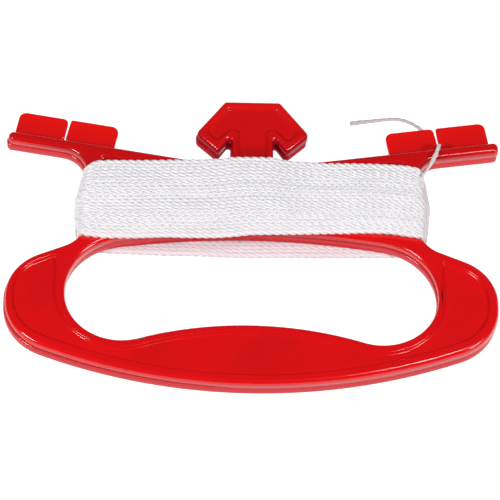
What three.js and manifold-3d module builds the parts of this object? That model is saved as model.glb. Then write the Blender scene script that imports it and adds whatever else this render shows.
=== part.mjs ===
// A kite string winder: one moulded plastic frame with a hand grip, a waist, two cleat arms and a hooked
// head, a kite line wound round the waist, and the line's loose end jammed in the right-hand cleat.
// Millimetres. X runs along the grip, Y from the grip to the head, Z up from the table.
import * as THREE from "three";
import { mergeVertices } from "three/addons/utils/BufferGeometryUtils.js";
import { ParametricGeometry } from "three/addons/geometries/ParametricGeometry.js";
import Module from "manifold-3d";

const wasm = await Module();
wasm.setup();

// Driving dimensions
const frameBottom = 2; // the wound line lifts the frame off the table
const frameThick = 8;
const frameTop = frameBottom + frameThick;
const edgeRound = 0.7;
const chord = 0.05; // how far an arc's segments may leave the true arc
const leastStep = 0.1; // arcs that nearly touch share one point
const waistHalf = 67.2;
const pocketDeep = 1.8; // recess on each face, inside the raised rim
const pocketFillet = 1.2;
const holeShift = -0.44; // the hand hole sits a little to the left of the middle
const lineDiameter = 1.3;
const gap = 0.3; // kept between neighbouring pieces
const centreY = 3.7; // middle of the outline in Y, which the part's own origin sits under

// Each arm sweeps back by its slope. Its back edge would cross the middle at back, and it is wide along Y.
const arms = {
  right: { side: 1, back: 39.64, slope: 0.1545, wide: 5.28, tip: 99 },
  left: { side: -1, back: 39.29, slope: 0.1725, wide: 4.79, tip: 98.8 },
};
const backAt = (arm, x) => arm.back + arm.slope * x;

// Half of each outline on the +X side, from the middle at the head to the middle at the grip. A row is a
// corner and the radius that rounds it; a corner on x = 0 belongs to both halves.
const frameHalf = (arm) => [
  { name: "head corner", x: 11.2, y: 72.4, r: 1.6 },
  { name: "shoulder", x: 23.3, y: 56.4, r: 2.7 },
  { name: "hook tip", x: 13.9, y: 47.4, r: 1.2 },
  { name: "notch", x: 8.4, y: 55.5, r: 0.9 },
  { name: "stem root", x: 8.6, y: backAt(arm, 8.6), r: 2 },
  { name: "arm tip, back", x: arm.tip, y: backAt(arm, arm.tip), r: 2.1 },
  { name: "arm tip, front", x: arm.tip, y: backAt(arm, arm.tip) - arm.wide, r: 2.1 },
  { name: "arm root", x: waistHalf, y: backAt(arm, waistHalf) - arm.wide, r: 9 },
  { name: "neck", x: waistHalf, y: 4.6, r: 11 },
  { name: "grip end, back", x: 99.1, y: -9.2, r: 22.2 },
  { name: "grip end, front", x: 100, y: -42, r: 23.4 },
  { name: "grip front", x: 0, y: -82.8, r: 224 },
];
const handHoleHalf = [
  { name: "upper bar arch", x: 0, y: 13.3, r: 314 },
  { name: "back corner", x: 75.1, y: 2.5, r: 26.9 },
  { name: "front corner", x: 75.8, y: -53.3, r: 22.4 },
  { name: "palm swell", x: 0, y: -28.3, r: 144 },
];
const gripPocketHalf = [
  { name: "front", x: 0, y: -78.5, r: 218 },
  { name: "end, front", x: 95.8, y: -38.2, r: 18.4 },
  { name: "end, back", x: 95.8, y: -13.2, r: 19.7 },
  { name: "neck point", x: 77.4, y: -4.8, r: 1.4 },
  { name: "inner side", x: 78.6, y: -58.7, r: 26.1 },
  { name: "palm", x: 0, y: -32.5, r: 137 },
];
const headPocketHalf = [
  { name: "head corner", x: 9.4, y: 68.4, r: 1.4 },
  { name: "shoulder", x: 18.9, y: 57.5, r: 1.6 },
  { name: "hook", x: 14, y: 52.6, r: 1.4 },
  { name: "channel top", x: 4.9, y: 62.8, r: 2.5 },
  { name: "channel foot", x: 4.9, y: 30, r: 1.4 },
];
const waistPocketHalf = [
  { name: "back, middle", x: 4.9, y: 35.9, r: 1.4 },
  { name: "back corner", x: 61.5, y: 44.9, r: 1.6 },
  { name: "neck", x: 63, y: 9.5, r: 3 },
  { name: "bar", x: 50, y: 11.2, r: 12 },
  { name: "bar, middle", x: 4.9, y: 14.6, r: 1.4 },
];

// Cleat tabs, in each arm's own frame: u runs along the arm's back edge from the slot, outwards on the
// right arm and inwards on the left one, and v away from the arm. The tabs lean towards the head.
const tabs = { low: 5, high: 7, rise: 11.5, root: 0.6, from: 76, reach: 20.4, lean: 0.05, round: 0.25 };
const slot = { foot: 0.5, mouth: 0.9, keyhole: 2, keyholeDeep: 1.95 };
const tabCorner = { outer: 3, beforeSlot: 2.2, afterSlot: 1, least: 0.34 };

// The wound line, a flat sleeve of turns round the waist that lies against the table.
const winding = {
  turns: 22,
  rowsPerTurn: 3,
  ridge: 0.25,
  skew: 0.9,
  crown: 0.4,
  boreRows: 5,
  around: 40,
};
// Half-width, top and corner radius of the turns, from the grip side to the head side.
const windingRows = [
  { y: 5.5, half: 71.2, top: 11.7, corner: 1.9 },
  { y: 9, half: 71, top: 12, corner: 3.6 },
  { y: 16, half: 71.7, top: 12.2, corner: 5 },
  { y: 25, half: 72.1, top: 12.3, corner: 5 },
  { y: 34, half: 70.9, top: 12, corner: 4.6 },
  { y: 39, half: 70, top: 11.7, corner: 3.2 },
  { y: 43.4, half: 70, top: 11.5, corner: 1.7 },
];

// Route of the loose end, from where it leaves the winding to its cut end on the table.
const lineRoute = [
  [68.9, 35.5, 11.95],
  [70.4, 38.3, 11.75],
  [72, 41.2, 11.6],
  [73.4, 44.6, 11.4],
  [74.6, 47.6, 11.3],
  [75.3, 50.2, 11.2],
  [75.6, 51.5, 11],
  [75.75, 52.2, 10.1],
  [75.75, 52.35, 8.7],
  [75.75, 52.35, 5.1],
  [75.6, 52.6, 3.8],
  [75.2, 53.4, 2.85],
  [74.7, 54.6, 2.5],
  [73.4, 57.8, 2.2],
  [71.7, 61.2, 1.8],
  [69.3, 65, 1.35],
  [66.3, 67.9, 1],
  [62.7, 70, 0.8],
  [58.4, 71, 0.7],
  [54.1, 70.7, 0.7],
  [50, 70, 0.7],
  [44, 69.1, 0.7],
  [39.9, 68.3, 0.7],
];
const lineSteps = 60;
const lineSides = 8;

// The corners of a whole outline: the right half, then the mirror image of the left half.
function bothHalves(right, left = right) {
  const mirrored = left
    .filter((corner) => corner.x > 0)
    .reverse()
    .map((corner) => ({ ...corner, x: -corner.x }));
  return [...right, ...mirrored];
}

// Points of a closed polygon whose corners are rounded to their radii, counter-clockwise.
function roundedLoop(corners) {
  const points = [];
  corners.forEach((corner, i) => {
    const before = corners[(i + corners.length - 1) % corners.length];
    const after = corners[(i + 1) % corners.length];
    const here = new THREE.Vector2(corner.x, corner.y);
    const back = new THREE.Vector2(before.x, before.y).sub(here).normalize();
    const ahead = new THREE.Vector2(after.x, after.y).sub(here).normalize();
    const half = Math.acos(THREE.MathUtils.clamp(back.dot(ahead), -1, 1)) / 2;
    const tangent = corner.r / Math.tan(half);
    const centre = back.clone().add(ahead).normalize().multiplyScalar(corner.r / Math.sin(half)).add(here);
    const start = back.multiplyScalar(tangent).add(here).sub(centre);
    const turn = Math.PI - 2 * half;
    const finish = ahead.multiplyScalar(tangent).add(here).sub(centre);
    const sign = Math.sign(start.cross(finish));
    const steps = Math.max(2, Math.ceil(turn / (2 * Math.acos(1 - chord / corner.r))));
    for (let k = 0; k <= steps; k++)
      points.push(start.clone().rotateAround(new THREE.Vector2(), (sign * turn * k) / steps).add(centre));
  });
  const spaced = points.filter((point, i) => point.distanceTo(points.at(i - 1)) > leastStep);
  return spaced.reverse();
}

// A plate between two heights with its edges rounded.
function plate(outline, low, high, round, steps, holes = []) {
  const shape = new THREE.Shape(outline);
  shape.holes = holes.map((hole) => new THREE.Path(hole));
  const geometry = new THREE.ExtrudeGeometry(shape, {
    depth: high - low - 2 * round,
    bevelEnabled: round > 0,
    bevelThickness: round,
    bevelSize: round,
    bevelOffset: -round,
    bevelSegments: steps,
  });
  return geometry.translate(0, 0, low + round);
}

function solid(geometry) {
  geometry.deleteAttribute("normal");
  geometry.deleteAttribute("uv");
  const merged = mergeVertices(geometry, 1e-4);
  return new wasm.Manifold(
    new wasm.Mesh({
      numProp: 3,
      vertProperties: merged.attributes.position.array,
      triVerts: new Uint32Array(merged.index.array),
    }),
  );
}

function geometryOf(body) {
  const mesh = body.getMesh();
  return new THREE.BufferGeometry()
    .setAttribute("position", new THREE.BufferAttribute(mesh.vertProperties, 3))
    .setIndex(new THREE.BufferAttribute(mesh.triVerts, 1));
}

// A recess cutter, sunk into one face of the frame with a filleted floor.
function pocketCutter(half, upper) {
  const outside = 3;
  const cutter = plate(roundedLoop(bothHalves(half)), -pocketDeep, outside, pocketFillet, 2);
  return upper
    ? solid(cutter.translate(0, 0, frameTop))
    : solid(cutter.rotateY(Math.PI).translate(0, 0, frameBottom));
}

// One arm's pair of tabs with the narrow slot and its wider root between them.
function cleat(arm) {
  const angle = Math.atan(arm.slope);
  const inPlan = (u, v) => ({
    x: arm.side * tabs.from + u * Math.cos(angle) - arm.side * v * Math.sin(angle),
    y: backAt(arm, tabs.from) + arm.side * u * Math.sin(angle) + v * Math.cos(angle),
  });
  const halfKey = slot.keyhole / 2;
  const outline = (sign, slotRadius) =>
    [
      { u: tabs.reach, v: -tabs.root, r: tabCorner.least },
      { u: tabs.reach, v: tabs.rise, r: tabCorner.outer },
      { u: slot.mouth / 2, v: tabs.rise, r: slotRadius },
      { u: slot.foot / 2, v: slot.keyholeDeep, r: tabCorner.least },
      { u: halfKey, v: slot.keyholeDeep, r: tabCorner.least },
      { u: halfKey, v: -tabs.root, r: tabCorner.least },
    ].map(({ u, v, r }) => ({ ...inPlan(sign * u - arm.side * tabs.lean * Math.max(0, v), v), r }));
  return [outline(-1, tabCorner.beforeSlot), outline(1, tabCorner.afterSlot)].map((corners) =>
    solid(plate(roundedLoop(corners), tabs.low, tabs.high, tabs.round, 1)),
  );
}

function frameOutline() {
  return roundedLoop(bothHalves(frameHalf(arms.right), frameHalf(arms.left)));
}

// Half-width of the frame at one place along its waist.
function waistAt(outline, y) {
  const crossings = outline.map((a, i) => {
    const b = outline[(i + 1) % outline.length];
    return (a.y - y) * (b.y - y) < 0 ? a.x + ((b.x - a.x) * (y - a.y)) / (b.y - a.y) : 0;
  });
  return Math.min(...crossings.filter((x) => x > waistHalf - edgeRound));
}

// Point t (0 to 1) of the way round a rounded rectangle in the XZ plane.
function roundTheWaist(t, half, low, high, corner) {
  const sides = 4;
  const place = (t * sides) % sides;
  const side = Math.floor(place);
  const across = place - side;
  const bend = 0.6; // share of each quarter that goes to its corner
  const centres = [
    [half - corner, high - corner],
    [corner - half, high - corner],
    [corner - half, low + corner],
    [half - corner, low + corner],
  ];
  const here = new THREE.Vector2(...centres[side]);
  if (across < bend) {
    const angle = (Math.PI / 2) * (side + across / bend);
    return here.add(new THREE.Vector2(corner, 0).rotateAround(new THREE.Vector2(), angle));
  }
  const next = new THREE.Vector2(...centres[(side + 1) % sides]);
  const quarters = side + 1;
  const outwards = new THREE.Vector2(corner, 0).rotateAround(new THREE.Vector2(), (Math.PI / 2) * quarters);
  return here.lerp(next, (across - bend) / (1 - bend)).add(outwards);
}

function windingAt(y) {
  const i = Math.max(1, windingRows.findIndex((row) => row.y >= y));
  const [a, b] = [windingRows[i - 1], windingRows[i]];
  const share = (y - a.y) / (b.y - a.y);
  const keys = ["half", "top", "corner"];
  return Object.fromEntries(keys.map((key) => [key, THREE.MathUtils.lerp(a[key], b[key], share)]));
}

function woundLineMesh() {
  const outline = frameOutline();
  const [first, last] = [windingRows[0], windingRows.at(-1)];
  const outerRows = winding.turns * winding.rowsPerTurn;
  const rows = outerRows + 1 + winding.boreRows;
  const place = (t, v, target) => {
    const row = Math.round(v * rows) % rows;
    const outside = row <= outerRows;
    const share = outside ? row / outerRows : 1 - (row - outerRows - 1) / (winding.boreRows - 1);
    const y = THREE.MathUtils.lerp(first.y, last.y, share);
    const skew = winding.skew * (1 - share); // the turns lie further from the grip on the right
    const phase = (Math.PI * (row % winding.rowsPerTurn)) / winding.rowsPerTurn;
    const ridge = winding.ridge * (Math.sin(phase) - 1);
    const { half: widest, top, corner } = windingAt(y);
    const half = outside ? widest + ridge : waistAt(outline, y - skew) + gap;
    const point = outside
      ? roundTheWaist(1 - t, half, 0, top + ridge, corner)
      : roundTheWaist(1 - t, half, frameBottom - gap, frameTop + gap, edgeRound);
    const crown = outside && point.y > frameTop ? winding.crown * (1 - (point.x / half) ** 2) : 0;
    target.set(point.x, y + (skew * point.x) / half, point.y + crown);
  };
  const sleeve = new ParametricGeometry(place, winding.around, rows);
  const material = new THREE.MeshStandardMaterial({ color: 0xe6e2e4, roughness: 0.8, metalness: 0 });
  return new THREE.Mesh(geometryOf(solid(sleeve)), material);
}

function lineEndMesh() {
  const stops = lineRoute.map((point) => new THREE.Vector3(...point));
  const path = new THREE.CatmullRomCurve3(stops, false, "centripetal");
  const section = new THREE.Shape().absarc(0, 0, lineDiameter / 2, 0, 2 * Math.PI);
  const cord = new THREE.ExtrudeGeometry(new THREE.Shape(section.getSpacedPoints(lineSides).slice(1)), {
    steps: lineSteps,
    bevelEnabled: false,
    extrudePath: path,
  });
  const material = new THREE.MeshStandardMaterial({ color: 0xdedade, roughness: 0.8, metalness: 0 });
  return new THREE.Mesh(geometryOf(solid(cord)), material);
}

function frameMesh() {
  const outline = frameOutline();
  const holeCorners = bothHalves(handHoleHalf).map((corner) => ({ ...corner, x: corner.x + holeShift }));
  const hole = roundedLoop(holeCorners);
  let body = solid(plate(outline, frameBottom, frameTop, edgeRound, 2, [hole]));
  for (const tab of [...cleat(arms.left), ...cleat(arms.right)]) body = body.add(tab);
  for (const half of [gripPocketHalf, headPocketHalf, waistPocketHalf])
    for (const upper of [true, false]) body = body.subtract(pocketCutter(half, upper));
  const material = new THREE.MeshStandardMaterial({ color: 0xc8141a, roughness: 0.22, metalness: 0 });
  return new THREE.Mesh(geometryOf(body), material);
}

const group = new THREE.Group();
const pieces = { frame: frameMesh(), wound_line: woundLineMesh(), line_end: lineEndMesh() };
for (const [name, mesh] of Object.entries(pieces)) {
  mesh.name = name;
  group.add(mesh);
}
group.position.y = -centreY;

export default group;
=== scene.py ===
import math
import random

import bmesh
import bpy
from mathutils import Matrix, Vector


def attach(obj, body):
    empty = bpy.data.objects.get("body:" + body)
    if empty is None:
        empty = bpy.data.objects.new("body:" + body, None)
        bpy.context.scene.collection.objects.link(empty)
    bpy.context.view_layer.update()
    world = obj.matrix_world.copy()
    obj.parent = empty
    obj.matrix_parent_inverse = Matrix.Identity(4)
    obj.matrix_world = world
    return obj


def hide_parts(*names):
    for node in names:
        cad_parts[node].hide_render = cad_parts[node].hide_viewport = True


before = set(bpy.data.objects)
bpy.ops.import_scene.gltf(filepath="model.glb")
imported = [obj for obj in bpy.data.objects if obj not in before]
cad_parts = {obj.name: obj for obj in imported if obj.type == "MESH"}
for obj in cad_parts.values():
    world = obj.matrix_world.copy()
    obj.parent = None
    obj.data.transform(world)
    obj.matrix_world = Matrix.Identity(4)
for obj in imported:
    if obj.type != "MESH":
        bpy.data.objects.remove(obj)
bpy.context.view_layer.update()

mm = 0.001
middleY = 3.7  # the tables below are drawn from a line this far in front of the part's own origin


def place(x, y, z):
    return Vector((x, y - middleY, z)) * mm


# Camera, nearly straight lines of sight, as in the photograph. Angles in degrees, distances in metres
view = {
    "elevation": 56.0, "turn": 2.2, "roll": 2.9, "distance": 8.0, "farthest": 50,
    "pixelsPerMm": 2.481, "imagePixels": 500, "sensor": 36,
    "aimAt": (-0.62, -0.48, 10.0),
}


def makeCamera():
    camera = bpy.data.cameras.new("camera")
    camera.sensor_width = view["sensor"]
    camera.lens = view["pixelsPerMm"] * view["distance"] / mm * view["sensor"] / view["imagePixels"]
    camera.clip_end = view["farthest"]
    looking = bpy.data.objects.new("camera", camera)
    bpy.context.collection.objects.link(looking)
    turned = (
        Matrix.Rotation(-math.radians(view["turn"]), 4, "Z")
        @ Matrix.Rotation(math.radians(90 - view["elevation"]), 4, "X")
        @ Matrix.Rotation(math.radians(view["roll"]), 4, "Z")
    )
    back = turned @ Vector((0, 0, view["distance"]))
    looking.matrix_world = Matrix.Translation(place(*view["aimAt"]) + back) @ turned
    bpy.context.scene.camera = looking


makeCamera()
bpy.context.scene.view_settings.view_transform = "Standard"
print("camera placed")


# Shader maths: a Number stands for one value in a material, so sums on it add the nodes
class Number:
    def __init__(self, shader, socket):
        self.shader, self.socket = shader, socket

    def sum(self, operation, *others):
        return self.shader.number("ShaderNodeMath", {"operation": operation}, [self, *others])

    def __add__(self, other):
        return self.sum("ADD", other)

    def __sub__(self, other):
        return self.sum("SUBTRACT", other)

    def __mul__(self, other):
        return self.sum("MULTIPLY", other)

    def __truediv__(self, other):
        return self.sum("DIVIDE", other)

    def __rsub__(self, other):
        return self.shader.number("ShaderNodeMath", {"operation": "SUBTRACT"}, [other, self])

    __radd__, __rmul__ = __add__, __mul__

    def cosine(self):
        return self.sum("COSINE")

    # 0 below low, 1 above high and a straight slope between them
    def within(self, low, high):
        settings = {"clamp": True}
        inputs = {"Value": self, "From Min": low, "From Max": high}
        return self.shader.number("ShaderNodeMapRange", settings, inputs)


class Shader:
    def __init__(self, name):
        self.material = bpy.data.materials.new(name)
        self.material.use_nodes = True
        self.tree = self.material.node_tree
        self.surface = self.tree.nodes["Principled BSDF"]

    # Any node: its settings go in first, then the values or links of its sockets
    def node(self, kind, settings=None, inputs=None):
        made = self.tree.nodes.new(kind)
        for name, value in (settings or {}).items():
            setattr(made, name, value)
        pairs = inputs.items() if isinstance(inputs, dict) else enumerate(inputs or [])
        for name, value in pairs:
            self.feed(made.inputs[name], value)
        return made

    def feed(self, socket, value):
        if isinstance(value, Number):
            value = value.socket
        if isinstance(value, bpy.types.NodeSocket):
            self.tree.links.new(value, socket)
        else:
            socket.default_value = value

    def number(self, kind, settings=None, inputs=None):
        return Number(self, self.node(kind, settings, inputs).outputs[0])

    def axes(self, vector):
        split = self.node("ShaderNodeSeparateXYZ", {}, {"Vector": vector})
        return [Number(self, output) for output in split.outputs]

    # Two colours; they go in at the node's sockets 6 and 7 and come out at 2
    def mix(self, factor, first, second):
        first, second = ((*value, 1) if isinstance(value, tuple) else value for value in (first, second))
        inputs = {0: factor, 6: first, 7: second}
        return self.node("ShaderNodeMix", {"data_type": "RGBA"}, inputs).outputs[2]

    def noise(self, where, scale, detail=2.0):
        inputs = {"Vector": where, "Scale": scale, "Detail": detail}
        return self.number("ShaderNodeTexNoise", {}, inputs)

    def bump(self, height, distance, strength, normal=None):
        inputs = {"Height": height, "Distance": distance, "Strength": strength}
        if normal is not None:
            inputs["Normal"] = normal
        return self.node("ShaderNodeBump", {}, inputs).outputs[0]

    def finish(self, **inputs):
        for name, value in inputs.items():
            socket = self.surface.inputs[name.replace("_", " ")]
            self.feed(socket, (*value, 1) if isinstance(value, tuple) else value)
        return self.material


# Red moulded plastic, with painted light and shade in most of its colours. A zone is two places, in
# millimetres, between which its colour comes in
plastic = {
    "colours": ((0.73, 0.0045, 0.006), (0.63, 0.0045, 0.006)),  # soft clouds of the two
    # painted shade: the plastic is painted darker towards the head
    "farShadeColour": (0.62, 0.0045, 0.006), "farShadeZone": (24, 54),
    # painted shade in the stem's channel behind the winding, darker still
    "stemShadeColour": (0.40, 0.0045, 0.006), "stemStart": (30, 36), "stemEnd": (47, 53), "stemShadeStrength": 0.9,
    # painted shade: the walls and the underside below the upper rim are painted darker
    "wallShadeColour": (0.58, 0.005, 0.012), "wallShadeZone": (7.4, 8.4),
    # painted light: the rims are painted lighter than the shaded recess floors, the head rim lighter still
    "rimLightColour": (0.70, 0.004, 0.006), "rimZone": (9.2, 9.9), "rimLightStrength": 0.8,
    # painted shade on the arm rims next to the winding
    "armShadeColour": (0.60, 0.004, 0.006), "armShadeZone": (33, 41),
    "headRimLightColour": (0.75, 0.006, 0.006), "headRimLightZone": (56, 62),
    # painted shade on the head's side walls below the rim, with less reflection
    "headSideShadeColour": (0.38, 0.004, 0.014), "headSideZone": (9.2, 9.8), "headSideSpecular": 0.06,
    # painted shade at the arm and painted light at the free edge, standing in for light that comes through
    # the thin plastic
    "tabShadeAndGlowColours": ((0.62, 0.005, 0.006), (0.84, 0.007, 0.005)), "tabClouds": 0.15,
    "tabRoot": 39.4, "tabSlope": 0.1635, "tabRise": 11.5,
    "roughness": 0.11, "roughClouds": 0.04,
    "cloudScale": 60, "flowMarks": 0.04,  # height of the long waves in the surface
    "grainScale": 2600, "grainHeight": 0.004,
}


def redPlastic(name, colourAt, specular=0.5):
    shader = Shader(name)
    where = shader.node("ShaderNodeTexCoord").outputs["Object"]
    cloudy = shader.noise(where, plastic["cloudScale"], 3)
    grain = shader.noise(where, plastic["grainScale"])
    x, y, z = (part / mm for part in shader.axes(where))
    colour = colourAt(shader, x, y + middleY, z, cloudy.within(0.3, 0.7))
    rough = plastic["roughness"] + plastic["roughClouds"] * cloudy
    normal = shader.bump(cloudy, plastic["flowMarks"] * mm, 0.5)
    normal = shader.bump(grain, plastic["grainHeight"] * mm, 0.4, normal)
    return shader.finish(
        Base_Color=colour, Roughness=rough, Normal=normal, IOR=1.5, Specular_IOR_Level=specular,
    )


# Painted light and shade: the raised rims are painted a little lighter than the recesses, the arm rims
# darker by the winding and the head rim lighter; painted shade makes the head and the stem darker than the
# grip, and the lower walls and the underside darker
def bodyColour(shader, x, y, z, cloudy):
    # painted light and shade on the rims: darker on the arms by the winding, lighter on the head
    rim = shader.mix(y.within(*plastic["armShadeZone"]), plastic["rimLightColour"], plastic["armShadeColour"])
    rim = shader.mix(y.within(*plastic["headRimLightZone"]), rim, plastic["headRimLightColour"])
    colour = shader.mix(cloudy, *plastic["colours"])
    # painted shade towards the head
    colour = shader.mix(y.within(*plastic["farShadeZone"]), colour, plastic["farShadeColour"])
    # painted shade in the stem's channel
    stem = (1 - y.within(*plastic["stemEnd"])) * y.within(*plastic["stemStart"]) * plastic["stemShadeStrength"]
    colour = shader.mix(stem, colour, plastic["stemShadeColour"])
    # painted shade on the lower walls and the underside
    colour = shader.mix(1 - z.within(*plastic["wallShadeZone"]), colour, plastic["wallShadeColour"])
    return shader.mix(z.within(*plastic["rimZone"]) * plastic["rimLightStrength"], colour, rim)


# The head's side walls are painted darker below the rim: painted shade
def headSideShadeColour(shader, x, y, z, cloudy):
    upper = z.within(*plastic["headSideZone"])
    return shader.mix(upper, plastic["headSideShadeColour"], bodyColour(shader, x, y, z, cloudy))


# Painted light and shade on the tabs: darker at the arm, lighter away from it, where light comes through the
# thin plastic
def tabShadeAndGlowColour(shader, x, y, z, cloudy):
    away = y - plastic["tabRoot"] - plastic["tabSlope"] * x.sum("ABSOLUTE")
    clouds = plastic["tabClouds"]
    share = away.within(0, plastic["tabRise"]) * (1 - clouds) + clouds * cloudy
    return shader.mix(share, *plastic["tabShadeAndGlowColours"])


# White twisted line. Its UV map runs along the line in X and round it in Y
lineLook = {
    # valley is painted shade in the grooves between the strands, and also the darker part of the fibre
    # streaks and patches
    "colour": (0.90, 0.885, 0.905), "valley": (0.68, 0.65, 0.70), "roughness": 0.62, "sheen": 0.3,
    "grooveShadeShare": 0.45, "fibreShare": 0.4, "patchShare": 0.15, "patchScale": 90, "fibreHeight": 0.03,
    # each tint, all of them painted light or shade: its colour and strength, and the two places between
    # which it fades or comes in
    # painted red light from the frame on the turns next to it
    "paintedRedGlow": ((0.90, 0.66, 0.70), 0.15, (0.5, 9)),
    "underShade": ((0.60, 0.46, 0.49), 0.5, (1.2, 4)),
    # painted shade at the right end of the winding
    "rightEndShade": ((0.60, 0.50, 0.53), 0.6, (67.8, 70.4)),
    "farShade": ((0.42, 0.37, 0.42), 0.8, (48, 52)),
}


def whiteLine(name, fibres, look, behindArm=False):
    shader = Shader(name)
    uv = shader.node("ShaderNodeUVMap", {"uv_map": "alongLine"}).outputs[0]
    around = shader.axes(uv)[1]
    lobe = 0.5 + 0.5 * (around * (2 * math.pi * look["strands"])).cosine()
    stretched = shader.node("ShaderNodeMapping", {}, {"Vector": uv, "Scale": (*fibres, 1)}).outputs[0]
    streaks = shader.noise(stretched, 1.0).within(0.3, 0.7)
    where = shader.node("ShaderNodeTexCoord").outputs["Object"]
    x, y, z = shader.axes(where)
    patchy = shader.noise(where, lineLook["patchScale"]).within(0.3, 0.7)
    # painted shade in the grooves between the strands, mixed with the fibre streaks and random patches
    shade = lineLook["grooveShadeShare"] * lobe.within(0.0, 0.6)
    shade = shade + lineLook["fibreShare"] * streaks + lineLook["patchShare"] * patchy
    colour = shader.mix(shade.within(0.0, 0.8), lineLook["valley"], lineLook["colour"])
    # Painted light and shade on the turns: the red frame's light is painted on the turns next to it, painted
    # shade under them, and the right end and the loose end behind the arm are painted darker, as shade
    tints = [("paintedRedGlow", y, True), ("underShade", z, True), ("rightEndShade", x, False)]
    if behindArm:
        tints.append(("farShade", y, False))
    for tintName, along, fades in tints:
        tint, strength, (low, high) = lineLook[tintName]
        share = along.within(low * mm, high * mm)
        colour = shader.mix((1 - share if fades else share) * strength, colour, tint)
    normal = shader.bump(streaks, lineLook["fibreHeight"] * mm, 0.6)
    return shader.finish(
        Base_Color=colour, Roughness=lineLook["roughness"], Normal=normal,
        Sheen_Weight=lineLook["sheen"], IOR=1.5,
    )


plasticMaterials = [
    redPlastic("redPlastic", bodyColour),
    redPlastic("thinRedPlasticShadeAndGlow", tabShadeAndGlowColour),
    redPlastic("redPlasticShadedOnTheHeadSides", headSideShadeColour, plastic["headSideSpecular"]),
]
tabMaterial, headSideShadeMaterial = 1, 2
print("materials made")


# Twisted line: a curve whose three-strand section turns as it goes, made into a mesh
def twistedMesh(name, points, look, closed=False, swell=None):
    radius, lay, valley, strands = (look[key] for key in ("radius", "lay", "valley", "strands"))
    shoulder = (1 + valley) / 2 + 0.08  # a little full, so that each strand is round
    reaches = (1, shoulder, valley, shoulder)
    section = bpy.data.curves.new(name + "Section", "CURVE")
    ring = section.splines.new("POLY")
    sides = len(reaches) * strands
    ring.points.add(sides - 1)
    ring.use_cyclic_u = True
    for i, point in enumerate(ring.points):
        angle = 2 * math.pi * i / sides
        reach = radius * reaches[i % len(reaches)] * mm
        point.co = (reach * math.cos(angle), reach * math.sin(angle), 0, 1)
    sectionObject = bpy.data.objects.new(name + "Section", section)
    curve = bpy.data.curves.new(name, "CURVE")
    curve.dimensions = "3D"
    curve.bevel_mode = "OBJECT"
    curve.bevel_object = sectionObject
    curve.use_fill_caps = not closed
    spline = curve.splines.new("POLY")
    spline.points.add(len(points) - 1)
    spline.use_cyclic_u = closed
    following = points[1:] + (points[:1] if closed else [])
    length = sum((b - a).length for a, b in zip(points, following))
    rate = max(1, round(length / (lay * mm))) / length if closed else 1 / (lay * mm)
    along = 0.0
    for i, (point, where) in enumerate(zip(spline.points, points)):
        along += (where - points[i - 1]).length if i else 0.0
        point.co = (*where, 1)
        point.tilt = 2 * math.pi * along * rate
        point.radius = swell(i / len(points)) if swell else 1.0
    holder = bpy.data.objects.new(name, curve)
    for thing in (sectionObject, holder):
        bpy.context.collection.objects.link(thing)
    evaluated = holder.evaluated_get(bpy.context.evaluated_depsgraph_get())
    mesh = bpy.data.meshes.new_from_object(evaluated)
    mesh.name = name
    mesh.uv_layers[0].name = "alongLine"
    for thing in (holder, sectionObject):
        bpy.data.objects.remove(thing)
    mesh.shade_smooth()
    return mesh, length


# A smooth curve through the knots, as points the same distance apart
def smoothRoute(knots, step):
    fine, parts = [], 20
    ends = [2 * knots[0] - knots[1], *knots, 2 * knots[-1] - knots[-2]]
    for a, b, c, d in zip(ends, ends[1:], ends[2:], ends[3:]):
        slope, bow, swing = c - a, 2 * a - 5 * b + 4 * c - d, 3 * b - a - 3 * c + d
        for k in range(parts):
            t = k / parts
            fine.append(0.5 * (2 * b + slope * t + bow * t**2 + swing * t**3))
    fine.append(knots[-1])
    out, left = [fine[0]], step
    for a, b in zip(fine, fine[1:]):
        span = (b - a).length
        while span > left:
            a = a + (b - a) * (left / span)
            out.append(a)
            span, left = (b - a).length, step
        left -= span
    return [*out, fine[-1]]


# The value of a table at a place, straight between its rows
def readTable(rows, at, column=1):
    at = max(rows[0][0], min(rows[-1][0], at))
    i = next(k for k in range(1, len(rows)) if rows[k][0] >= at)
    low, high = rows[i - 1], rows[i]
    return low[column] + (high[column] - low[column]) * (at - low[0]) / (high[0] - low[0])


def addPiece(name, mesh, materials):
    piece = bpy.data.objects.new(name, mesh)
    bpy.context.collection.objects.link(piece)
    for material in materials:
        mesh.materials.append(material)
    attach(piece, "root")
    return piece


# Loose line end, jammed in the right cleat
looseLine = {
    "diameter": 1.5, "radius": 0.75, "lay": 9.4, "valley": 0.7, "strands": 3, "step": 0.6,
    "fibresPerMm": 0.3, "fibresRound": 8,
    # share of the way along, and how thick the line is there against its diameter
    "swell": [
        (0, 0.75), (0.08, 0.8), (0.13, 1.2), (0.16, 1.35), (0.19, 1.1), (0.25, 1.0), (0.8, 1.0),
        (0.93, 1.3), (0.985, 1.35), (1, 0.5),
    ],
    "route": [
        (68.9, 35.5, 11.95), (70.4, 38.3, 11.75), (72, 41.2, 11.6), (73.4, 44.6, 11.4), (74.6, 47.6, 11.3),
        (75.3, 50.2, 11.2), (75.6, 51.5, 11), (75.75, 52.2, 10.1), (75.75, 52.35, 8.7), (75.75, 52.35, 5.1),
        (75.6, 52.6, 3.8), (75.2, 53.4, 2.85), (74.7, 54.6, 2.5), (73.4, 57.8, 2.2), (71.7, 61.2, 1.8),
        (69.3, 65, 1.35), (66.3, 67.9, 1), (62.7, 70, 0.8), (58.4, 71, 0.75), (54.1, 70.6, 0.8),
        (50, 69.9, 0.9), (44, 68.9, 1.02), (39.9, 68.1, 1.02),
    ],
}


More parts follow.
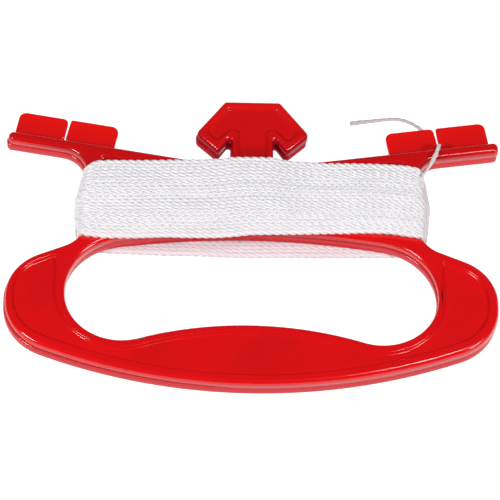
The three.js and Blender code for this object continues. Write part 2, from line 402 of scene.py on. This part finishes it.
def makeLooseLine():
    def thickness(share):
        return readTable(looseLine["swell"], share)

    path = smoothRoute([place(*point) for point in looseLine["route"]], looseLine["step"] * mm)
    mesh, length = twistedMesh("looseLine", path, looseLine, swell=thickness)
    fibres = (length / mm * looseLine["fibresPerMm"], looseLine["fibresRound"])
    material = whiteLine("looseLineFibre", fibres, looseLine, behindArm=True)
    piece = addPiece("looseLine", mesh, [material])
    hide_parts("line_end")
    print("loose line", round(length / mm, 1), "mm")


makeLooseLine()


# Moulded frame, in millimetres. A side is 1 for +X or -1 for -X, a face 1 for the upper or -1 for the lower
moulding = {
    "low": 2.0, "high": 10.0, "seam": 6.0,
    "halfShift": 0.23, "holeShift": -0.44,  # the halves of the mould, and the hole, are a little off centre
    "topEdge": 1.75, "lowEdge": 0.4,  # how round the outer edges are
    "rimRound": 0.6, "floorRound": 0.8, "wallSlope": 55, "wallRun": 0.3, "wallSteps": 6,  # a recess wall
    "draft": 0.08, "groove": 0.1, "grooveHeight": 0.08,  # the groove runs round the outside at the seam
    "edgeSteps": 7, "chord": 0.012, "leastRadius": 0.12, "land": 0.1,
    # outer faces of the head's sides, below headSideTop, get the plastic with painted shade
    "headFrom": 40, "headHalf": 30, "headSideTop": 9.7,  # outer faces here are the head's sides
}
# Each arm's back edge lies at back + slope * x; root rounds the corner between the arm and the waist
arms = {
    1: {"back": 39.64, "slope": 0.1545, "wide": 5.28, "tip": 99.6, "root": 9.5},
    -1: {"back": 39.29, "slope": 0.1725, "wide": 4.79, "tip": 98.8, "root": 11.0},
}


# Each row is a corner and the radius that rounds it, from the head to the grip
def outlineHalf(side):
    arm = arms[side]
    tip, wide = arm["tip"], arm["wide"]

    def backAt(x):
        return arm["back"] + arm["slope"] * x

    return [
        (11.2, 72.4, 1.6), (23.3, 56.4, 2.7), (13.9, 47.4, 1.2), (8.4, 55.5, 0.9),  # head and hook
        (8.6, backAt(8.6), 2.0), (tip, backAt(tip), 2.25), (tip, backAt(tip) - wide, 2.25),  # arm
        (67.2, backAt(67.2) - wide, arm["root"]), (67.2, 4.6, 14.2),  # waist
        (99.1, -9.2, 22.2), (100.0, -42.0, 23.4), (0, -82.8, 224),  # grip
    ]


holeHalf = {
    1: [(0, 12.2, 314), (75.1, 1.4, 26.9), (75.8, -53.3, 22.4), (0, -28.3, 146)],
    -1: [(0, 12.2, 314), (74.5, 1.7, 26.6), (75.2, -53.1, 22.4), (0, -28.3, 146)],
}
gripRecess = {
    1: [
        (0, -78.9, 212), (95.8, -38.3, 18.4), (95.8, -12.1, 18.0), (76.6, -3.9, 1.4),
        (78.2, -58.7, 24.5), (0, -32.5, 137),
    ],
    -1: [
        (0, -78.9, 212), (96.6, -38.1, 18.4), (96.6, -12.0, 17.4), (78.8, -3.6, 1.4),
        (80.0, -58.7, 26.5), (0, -32.5, 137),
    ],
}
bodyRecess = [
    (9.6, 68.8, 1.4), (19.1, 57.5, 1.6), (14.2, 52.4, 1.4), (6.0, 61.4, 2.0), (6.0, 35.9, 1.2),
    (61.5, 44.6, 1.6), (63.0, 9.5, 3.0), (50.0, 11.2, 12.0), (0, 14.9, 200),
]


# All corners in order: those on the right, then those on the left, mirrored
def bothSides(right, left=None):
    left = left or right
    return [*right, *((-x, y, r) for x, y, r in reversed(left) if x > 0)]


# Points of a rounded polygon, moved inwards by inset; each corner keeps its number of points
def roundedLoop(corners, inset, z, shift=0.0):
    count = len(corners)
    area = sum(a[0] * b[1] - b[0] * a[1] for a, b in zip(corners, corners[1:] + corners[:1]))
    turn = 1 if area > 0 else -1
    flat = [Vector(corner[:2]) for corner in corners]
    along = [(flat[(i + 1) % count] - flat[i]).normalized() for i in range(count)]
    inward = [Vector((-d.y, d.x)) * turn for d in along]
    points = []
    for i, (x, y, radius) in enumerate(corners):
        before, after = along[i - 1], along[i]
        normalBefore, normalAfter = inward[i - 1], inward[i]
        bisector = (normalBefore + normalAfter) / (1 + normalBefore.dot(normalAfter))
        corner = flat[i] + bisector * inset
        convex = (before.x * after.y - before.y * after.x) * turn > 0
        bend = math.acos(max(-1, min(1, before.dot(after))))
        reach = max(moulding["leastRadius"], radius - inset if convex else radius + inset)
        tangent = reach * math.tan(bend / 2)
        start = corner - before * tangent
        centre = start + (normalBefore if convex else -normalBefore) * reach
        stepAngle = 2 * math.acos(1 - moulding["chord"] / max(radius, 1.0))
        steps = max(4, math.ceil(bend / stepAngle))
        sweep = bend * (turn if convex else -turn)
        for k in range(steps + 1):
            spoke = Vector(start - centre)
            spoke.rotate(Matrix.Rotation(sweep * k / steps, 2))
            points.append(place(centre.x + spoke.x + shift, centre.y + spoke.y, z))
    return points


# Grows a band of faces from one loop of edges to each next ring of places; gives the first and last loops
def growLoop(bm, rings):
    verts = [bm.verts.new(point) for point in rings[0]]
    edges = first = [bm.edges.new(pair) for pair in zip(verts, verts[1:] + verts[:1])]
    for ring in rings[1:]:
        grown = bmesh.ops.extrude_edge_only(bm, edges=edges)["geom"]
        fresh = {thing for thing in grown if isinstance(thing, bmesh.types.BMVert)}
        moved = []
        for vert, point in zip(verts, ring):
            partner = next(e.other_vert(vert) for e in vert.link_edges if e.other_vert(vert) in fresh)
            partner.co = point
            moved.append(partner)
        verts = moved
        edges = [bm.edges.get(pair) for pair in zip(verts, verts[1:] + verts[:1])]
    return first, edges


# How far in and how far down each ring of a rounded outer edge lies, from the flat of the rim to the wall
def edgeRings(radius, steps, land):
    turned = [math.pi / 2 * k / steps for k in range(steps + 1)]
    rounded = [(radius * (1 - math.sin(a)), radius * (1 - math.cos(a))) for a in turned]
    return [(radius + land, 0.0), *rounded]


# Rings of the outer wall or, with side -1, of the hole's wall, from the upper face to the lower
def wallRings(corners, side):
    draft, seam = moulding["draft"], moulding["seam"]
    groove, height = moulding["groove"], moulding["grooveHeight"]
    rings = []
    for end, sign, edge in (("high", 1, "topEdge"), ("low", -1, "lowEdge")):
        rounded = edgeRings(moulding[edge], moulding["edgeSteps"], moulding["land"])
        half = [(draft + inset, moulding[end] - sign * depth) for inset, depth in rounded]
        half += [(0.0, seam + sign * 2 * height), (groove, seam + sign * height)]
        shift = sign * moulding["halfShift"]
        made = [roundedLoop(corners, side * inset, z, shift) for inset, z in half]
        rings += made if sign > 0 else reversed(made)
    return rings


# Rings of a recess from the rim's flat over its rounding, down the sloped wall and out on the floor
def recessRings(corners, face):
    end = moulding["high"] if face > 0 else moulding["low"]
    rim, floor, run = moulding["rimRound"], moulding["floorRound"], moulding["wallRun"]
    steep = math.radians(moulding["wallSlope"])
    turned = [steep * k / moulding["wallSteps"] for k in range(moulding["wallSteps"] + 1)]
    wide, deep = rim * math.sin(steep), rim * (1 - math.cos(steep))
    shape = [(wide + moulding["land"], 0.0)]
    shape += [(wide - rim * math.sin(a), rim * (1 - math.cos(a))) for a in turned]
    across = -run - floor * math.sin(steep)
    depth = deep + run * math.tan(steep) + floor * (1 - math.cos(steep))
    shape += [(across + floor * math.sin(a), depth - floor * (1 - math.cos(a))) for a in reversed(turned)]
    shape.append((across - moulding["land"], depth))
    shift = face * moulding["halfShift"]
    return [roundedLoop(corners, -inset, end - face * down, shift) for inset, down in shape]


# Cleat tabs, in each arm's own directions: u along the arm from the slot, v away from it
tabs = {
    "low": 5.0, "high": 7.0, "from": 76.05, "reach": 20.4, "rise": 11.5, "root": 1.2, "lean": 0.05,
    "slotFoot": 0.5, "slotMouth": 0.9, "keyhole": 2.0, "keyholeDeep": 1.95,
    "outer": 3.0, "beforeSlot": 2.2, "afterSlot": 1.0, "least": 0.35,  # radii of the corners
    "edge": 0.5, "edgeSteps": 4, "land": 0.08,
}


# One tab of a cleat; sign is 1 for the tab on the slot's +X side and -1 for the other
def addTab(bm, side, sign, slotRadius):
    arm = arms[side]
    along = Vector((1, arm["slope"] * side)).normalized()
    away = Vector((-along.y, along.x))
    start = Vector((side * tabs["from"], arm["back"] + arm["slope"] * tabs["from"]))
    reach, rise, root, least, deep = (tabs[key] for key in ("reach", "rise", "root", "least", "keyholeDeep"))
    mouth, foot, keyhole = (tabs[key] / 2 for key in ("slotMouth", "slotFoot", "keyhole"))
    outline = [
        (reach, -root, least), (reach, rise, tabs["outer"]), (mouth, rise, slotRadius),
        (foot, deep, least), (keyhole, deep, least), (keyhole, -root, least),
    ]
    corners = []
    for u, v, r in outline:
        where = start + along * (sign * u - side * tabs["lean"] * max(0, v)) + away * v
        corners.append((*where, r))
    shape = edgeRings(tabs["edge"], tabs["edgeSteps"], tabs["land"])
    rings = [roundedLoop(corners, inset, tabs["high"] - depth) for inset, depth in shape]
    rings += [roundedLoop(corners, inset, tabs["low"] + depth) for inset, depth in reversed(shape)]
    before = set(bm.faces)
    for loop in growLoop(bm, rings):
        bmesh.ops.triangle_fill(bm, use_beauty=True, edges=loop)
    for face in set(bm.faces) - before:
        face.material_index = tabMaterial


def makeFrame():
    bm = bmesh.new()
    outline = bothSides(outlineHalf(1), outlineHalf(-1))
    land = {1: [], -1: []}
    hole = [(x + moulding["holeShift"], y, r) for x, y, r in bothSides(holeHalf[1], holeHalf[-1])]
    for corners, side in ((outline, 1), (hole, -1)):
        upper, lower = growLoop(bm, wallRings(corners, side))
        land[1] += upper
        land[-1] += lower
    # the head's sides get the plastic with painted shade
    for face in bm.faces:
        centre = face.calc_center_median() / mm
        atHead = centre.y > moulding["headFrom"] and abs(centre.x) < moulding["headHalf"]
        if atHead and centre.z < moulding["headSideTop"]:
            face.material_index = headSideShadeMaterial
    for face in (1, -1):
        for corners in (bothSides(gripRecess[1], gripRecess[-1]), bothSides(bodyRecess)):
            rim, floor = growLoop(bm, recessRings(corners, face))
            land[face] += rim
            bmesh.ops.triangle_fill(bm, use_beauty=True, edges=floor)
        bmesh.ops.triangle_fill(bm, use_beauty=True, edges=land[face])
    for side in (1, -1):
        addTab(bm, side, -1, tabs["beforeSlot"])
        addTab(bm, side, 1, tabs["afterSlot"])
    bmesh.ops.recalc_face_normals(bm, faces=bm.faces)
    for face in bm.faces:
        face.smooth = True
    mesh = bpy.data.meshes.new("mouldedFrame")
    bm.to_mesh(mesh)
    bm.free()
    piece = addPiece("mouldedFrame", mesh, plasticMaterials)
    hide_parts("frame")
    print("frame", len(mesh.polygons), "faces")


makeFrame()


# Winding: the near and back edges of the turns, above and below, as x and y
winding = {
    "turns": 23, "radius": 1.0, "lay": 9.4, "valley": 0.76, "strands": 3, "fibres": (100, 9),
    "seed": 4, "flatSteps": 130, "cornerSteps": 7,
    "squared": 1.1, "spread": 0.3,  # how far the turns press each other square and spread into each other
    "from": 4, "over": 38,  # where the first turn lies in the profile, and how far on the last one is
    "crown": 0.3, "waver": 0.06,  # rise of the top between the ends, and how far a turn strays
    "underLayer": 0.1, "underThick": 0.4,  # the sleeve under the turns
    "nearTop": [
        (-72, 4.9), (-69, 4.3), (-66, 3.4), (-60, 2.7), (-52, 2.8), (-46, 3.0), (-39, 3.4), (-34, 3.6),
        (-28, 3.4), (-14, 3.8), (-8, 4.4), (0, 5.4), (12, 6.0), (30, 6.7), (45, 7.4), (54, 7.2), (59, 6.6),
        (62, 6.0), (66, 5.6), (72, 5.2),
    ],
    "backTop": [
        (-72, 36), (-69, 37.8), (-67, 40.0), (-64.5, 41.8), (-57, 42.4), (-41, 42.4), (-21, 43.2),
        (-12, 43.9), (-8, 44.8), (8, 44.8), (12, 43.6), (20, 42.8), (31, 42.4), (42, 42.6), (54, 42.5),
        (62, 42.2), (66, 41.6), (69, 40.2), (72, 37.8),
    ],
    "nearLow": [
        (-72, 3.9), (-62, 2.4), (-52, 1.7), (-40, 1.4), (0, 0.9), (20, 1.4), (34, 1.5), (60, 2.5),
        (68, 3.6), (72, 4.6),
    ],
    "backLow": [(-72, 36.5), (-60, 40), (0, 42.6), (60, 40), (72, 36.5)],
    "drawnIn": 0.018,  # the left ends of the turns are shorter towards the head
    # y, half width, top, corner radius
    "profile": [
        (3, 70.1, 11.7, 1.8), (9, 70.9, 12.0, 3.4), (16, 71.7, 12.2, 5), (25, 72.1, 12.3, 5),
        (34, 70.9, 12.0, 4.6), (39, 69.7, 11.7, 3.2), (44, 68.9, 11.5, 1.8),
    ],
}


# One turn round the waist, at a share s of the way from the grip side to the head side
def turnPoints(s, inset, wobble=None):
    at = winding["from"] + winding["over"] * s
    half, top, corner = (readTable(winding["profile"], at, column) for column in (1, 2, 3))
    half, top, low, corner = half - inset, top - inset, inset, max(0.4, corner - inset)
    wide, steps, runs = half - corner, winding["cornerSteps"], winding["flatSteps"]
    flat = []
    centres = [(wide, top - corner), (-wide, top - corner), (-wide, low + corner), (wide, low + corner)]
    for quarter, (cx, cz) in enumerate(centres):
        for k in range(steps + 1):
            angle = math.pi / 2 * (quarter + k / steps)
            flat.append((cx + corner * math.cos(angle), cz + corner * math.sin(angle)))
        if quarter in (0, 2):
            sign, level = (-1, top) if quarter == 0 else (1, low)
            flat += [(sign * wide * (2 * k / runs - 1), level) for k in range(1, runs)]
    points = []
    for x, z in flat:
        upper = max(0.0, min(1.0, (z - low) / (top - low)))
        near, back = (
            readTable(winding[edge + "Low"], x) * (1 - upper) + readTable(winding[edge + "Top"], x) * upper
            for edge in ("near", "back")
        )
        reach = winding["radius"] * (1 + winding["spread"])
        near, back = near + reach, back - reach
        y = near + (back - near) * s
        crown = winding["crown"] * (1 - (x / half) ** 2) * upper
        x += max(0.0, -x) * winding["drawnIn"] * s ** 2
        if wobble:
            y, crown = y + wobble(x, upper), crown + 0.2 * wobble(x + 30, upper)
        points.append(place(x, y, z + crown))
    return points


# The section of a turn is pressed flat outside and inside by the turns beside it
def squareUp(mesh, points):
    sides, count = len(mesh.vertices) // len(points), len(points)
    for i, vert in enumerate(mesh.vertices):
        k = i // sides
        along = (points[(k + 1) % count] - points[k - 1]).normalized()
        outward = Vector((0, 1, 0)).cross(along)
        offset = vert.co - points[k]
        beside = (offset.y / (winding["radius"] * mm)) ** 2
        vert.co += outward * offset.dot(outward) * winding["squared"] * beside
        vert.co.y += offset.y * winding["spread"]


def makeWinding():
    chance = random.Random(winding["seed"])
    waver = winding["waver"]
    total = bmesh.new()
    for k in range(winding["turns"]):
        # Three waves in each turn: how high, how long, and where they start
        limits = ((-waver, waver), (25, 70), (0, 6.3))
        waves = [[chance.uniform(*limit) for limit in limits] for _ in range(3)]

        def wobble(x, upper):
            return sum(high * math.sin(x / long * 6.28 + start + upper * 2) for high, long, start in waves)

        points = turnPoints((k + 0.5) / winding["turns"], winding["radius"], wobble)
        first = chance.randrange(len(points))
        points = points[first:] + points[:first]
        mesh, length = twistedMesh("turn", points, winding, closed=True)
        squareUp(mesh, points)
        total.from_mesh(mesh)
        bpy.data.meshes.remove(mesh)
    mesh = bpy.data.meshes.new("woundTurns")
    total.to_mesh(mesh)
    total.free()
    material = whiteLine("woundLineFibre", winding["fibres"], winding)
    piece = addPiece("woundTurns", mesh, [material])
    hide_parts("wound_line")
    print("winding", len(mesh.polygons), "faces")

    # The layer under the turns, a thin sleeve that closes the gaps between them
    bm = bmesh.new()
    shares = [0.02 + 0.96 * (k / 12) for k in range(13)]
    outer = winding["radius"] + winding["underLayer"]
    inner = outer + winding["underThick"]
    rings = [turnPoints(s, outer) for s in shares] + [turnPoints(s, inner) for s in reversed(shares)]
    growLoop(bm, [*rings, rings[0]])
    bmesh.ops.remove_doubles(bm, verts=bm.verts, dist=1e-6)
    bmesh.ops.recalc_face_normals(bm, faces=bm.faces)
    bm.loops.layers.uv.new("alongLine")
    mesh = bpy.data.meshes.new("underLayer")
    bm.to_mesh(mesh)
    bm.free()
    mesh.shade_smooth()
    addPiece("underLayer", mesh, [material])


makeWinding()


# Floor and lights
studio = {
    "floor": (0.2, 0.2, 0.2), "floorGlow": 1.1, "floorHalf": 3, "sky": 0.05,
    # where each light stands, its two sizes and its strength
    "lights": [
        ((-1.11, -0.59, 0.99), (0.5, 0.35), 16.5),
        ((1.16, -0.54, 0.94), (0.45, 0.3), 13.5),
        ((0.42, -0.05, 1.5), (0.5, 0.18), 6.2),
    ],
}


def makeStudio():
    bm = bmesh.new()
    bmesh.ops.create_grid(bm, x_segments=2, y_segments=2, size=studio["floorHalf"])
    mesh = bpy.data.meshes.new("floor")
    bm.to_mesh(mesh)
    bm.free()
    white = Shader("floorWhite").finish(
        Base_Color=studio["floor"], Roughness=0.9,
        Emission_Color=(1.0, 1.0, 1.0), Emission_Strength=studio["floorGlow"],
    )
    mesh.materials.append(white)
    floor = bpy.data.objects.new("floor", mesh)
    bpy.context.collection.objects.link(floor)
    world = bpy.data.worlds.new("studio")
    world.use_nodes = True
    sky = world.node_tree.nodes["Background"].inputs
    sky["Color"].default_value = (1, 1, 1, 1)
    sky["Strength"].default_value = studio["sky"]
    bpy.context.scene.world = world
    for i, (where, (wide, deep), power) in enumerate(studio["lights"]):
        light = bpy.data.lights.new(f"softLight{i}", "AREA")
        light.shape, light.size, light.size_y, light.energy = "RECTANGLE", wide, deep, power
        lamp = bpy.data.objects.new(f"softLight{i}", light)
        bpy.context.collection.objects.link(lamp)
        lamp.location = where
        lamp.rotation_euler = Vector(where).to_track_quat("Z", "Y").to_euler()
    print("studio lit")


makeStudio()
